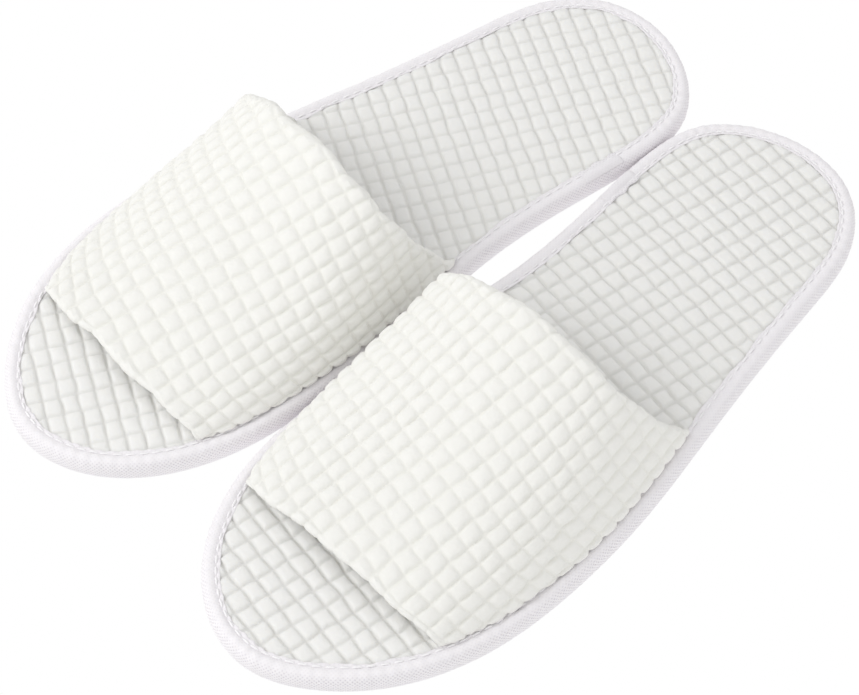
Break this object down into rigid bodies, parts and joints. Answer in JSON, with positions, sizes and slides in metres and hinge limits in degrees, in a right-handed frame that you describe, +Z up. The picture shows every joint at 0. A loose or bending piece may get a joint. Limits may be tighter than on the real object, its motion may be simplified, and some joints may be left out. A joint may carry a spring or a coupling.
{
  "type": "spa slippers",
  "caption": "Open-toe padded spa slippers, a right and left pair: waffle-textured fleece upper and insole on a taped foam sole that bends at the waist.",
  "frame": {"origin": "on the floor, midway between the two slippers (centre of the pair's bounding box, at its base)", "axes": "+Z up, +Y from the toes to the heels, the wearer's right slipper at -X and the left at +X"},
  "size_m": [0.2202, 0.2869, 0.0588],
  "materials": {
    "vamp_fleece": "brushed waffle fleece",
    "insole_fleece": "brushed waffle fleece",
    "binding_tape": "embossed non-woven tape",
    "stitch_thread": "spun thread",
    "lining_fabric": "thin knit",
    "soft_foam": "open-cell foam",
    "eva_foam": "matte closed-cell foam"
  },
  "bodies": {
    "right_forefoot": {"right_binding_stitches_front": "stitch_thread", "right_edge_binding_front": "binding_tape", "right_front_hem": "vamp_fleece", "right_insole_cover_front": "insole_fleece", "right_insole_foam_front": "soft_foam", "right_outsole_front": "eva_foam", "right_throat_hem": "vamp_fleece", "right_vamp_fleece": "vamp_fleece", "right_vamp_foam": "soft_foam", "right_vamp_lining": "lining_fabric"},
    "right_heel": {"right_binding_overlap": "binding_tape", "right_binding_stitches_heel": "stitch_thread", "right_edge_binding_heel": "binding_tape", "right_insole_cover_heel": "insole_fleece", "right_insole_foam_heel": "soft_foam", "right_outsole_heel": "eva_foam"},
    "left_forefoot": {"left_binding_stitches_front": "stitch_thread", "left_edge_binding_front": "binding_tape", "left_front_hem": "vamp_fleece", "left_insole_cover_front": "insole_fleece", "left_insole_foam_front": "soft_foam", "left_outsole_front": "eva_foam", "left_throat_hem": "vamp_fleece", "left_vamp_fleece": "vamp_fleece", "left_vamp_foam": "soft_foam", "left_vamp_lining": "lining_fabric"},
    "left_heel": {"left_binding_overlap": "binding_tape", "left_binding_stitches_heel": "stitch_thread", "left_edge_binding_heel": "binding_tape", "left_insole_cover_heel": "insole_fleece", "left_insole_foam_heel": "soft_foam", "left_outsole_heel": "eva_foam"}
  },
  "joints": [
    {"name": "right_sole_flex", "type": "hinge", "parent": "right_forefoot", "child": "right_heel", "pos_m": [-0.04825, 0.04081, 0.009], "axis": [0.9985, -0.055, 0], "range_deg": [0, 45], "stiffness_Nm_per_rad": 0.25},
    {"name": "slippers_apart", "type": "slide", "parent": "right_forefoot", "child": "left_forefoot", "axis": [1, 0, 0], "range_m": [0, 0.15]},
    {"name": "left_sole_flex", "type": "hinge", "parent": "left_forefoot", "child": "left_heel", "pos_m": [0.04825, 0.03907, 0.009], "axis": [0.9985, 0.055, 0], "range_deg": [0, 45], "stiffness_Nm_per_rad": 0.25}
  ]
}
